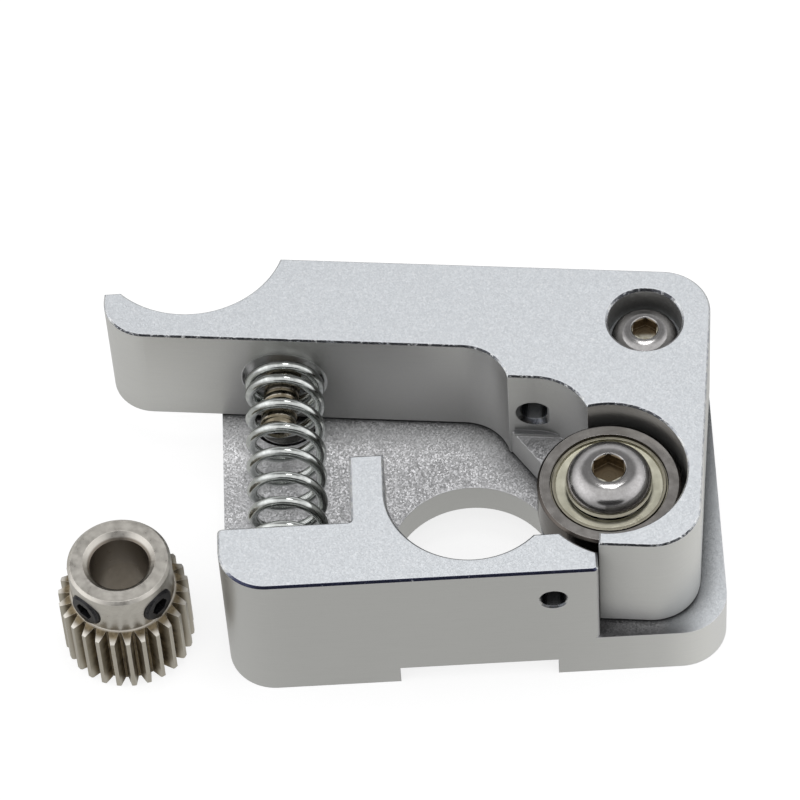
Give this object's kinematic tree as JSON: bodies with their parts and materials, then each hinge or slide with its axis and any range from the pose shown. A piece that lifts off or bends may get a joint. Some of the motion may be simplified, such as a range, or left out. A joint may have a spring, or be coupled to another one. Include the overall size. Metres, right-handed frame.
{
  "type": "filament extruder drive block",
  "caption": "Machined aluminium filament extruder block with a sprung idler lever, a shielded idler bearing and a loose toothed drive gear, for a square stepper motor face.",
  "frame": {"origin": "motor shaft axis at the base block's back face, where the block meets the motor", "axes": "+Z along the motor shaft, away from the motor; +X towards the bearing side; +Y towards the lever's back edge, along the filament line and against the feed direction"},
  "size_m": [0.0561, 0.0331, 0.0193],
  "materials": {
    "blasted_aluminium": "bead blasted, clear anodised",
    "stainless": "polished stainless",
    "bearing_steel": "ground steel",
    "shield_zinc": "yellowish zinc plate",
    "cage_steel": "pressed steel",
    "spring_steel": "bright zinc plated wire",
    "gear_steel": "warm stainless, machined",
    "black_oxide": "black oxide"
  },
  "bodies": {
    "base": {"base_block": "blasted_aluminium", "base_screw": "stainless", "pivot_screw": "stainless", "pivot_washer": "bearing_steel", "compression_spring": "spring_steel"},
    "lever": {"idler_lever": "blasted_aluminium", "bearing_inner_ring": "bearing_steel", "bearing_spacer": "bearing_steel", "bearing_axle_screw": "stainless", "spring_guide_screw": "stainless"},
    "idler": {"bearing_outer_ring": "bearing_steel", "bearing_shield_front": "shield_zinc", "bearing_shield_rear": "shield_zinc"},
    "ball_set": {"bearing_balls": "bearing_steel", "bearing_cage": "cage_steel"},
    "gear": {"drive_gear": "gear_steel"},
    "set_left": {"set_screw_left": "black_oxide"},
    "set_right": {"set_screw_right": "black_oxide"}
  },
  "joints": [
    {"name": "lever_pivot", "type": "hinge", "parent": "base", "child": "lever", "pos_m": [0.0155, 0.0155, 0], "axis": [0, 0, 1], "range_deg": [0, 18], "stiffness_Nm_per_rad": 4.1, "springref_deg": -5.73, "deforming": ["compression_spring"]},
    {"name": "idler_spin", "type": "hinge", "parent": "lever", "child": "idler", "pos_m": [0.01156, 0.00044, 0.012], "axis": [0, 0, 1], "continuous": true},
    {"name": "ball_orbit", "type": "hinge", "parent": "lever", "child": "ball_set", "pos_m": [0.01156, 0.00044, 0.012], "axis": [0, 0, 1], "continuous": true},
    {"name": "gear_spin", "type": "hinge", "parent": "base", "child": "gear", "pos_m": [-0.0295, -0.0025, 0], "axis": [0, 0, 1], "continuous": true},
    {"name": "set_left_feed", "type": "slide", "parent": "gear", "child": "set_left", "axis": [0.6947, 0.7193, 0], "range_m": [-0.0015, 0.0006]},
    {"name": "set_right_feed", "type": "slide", "parent": "gear", "child": "set_right", "axis": [-0.7193, 0.6947, 0], "range_m": [-0.0015, 0.0006]}
  ],
  "couplings": [
    {"joint": "ball_orbit", "follows": "idler_spin", "ratio": 0.625}
  ]
}
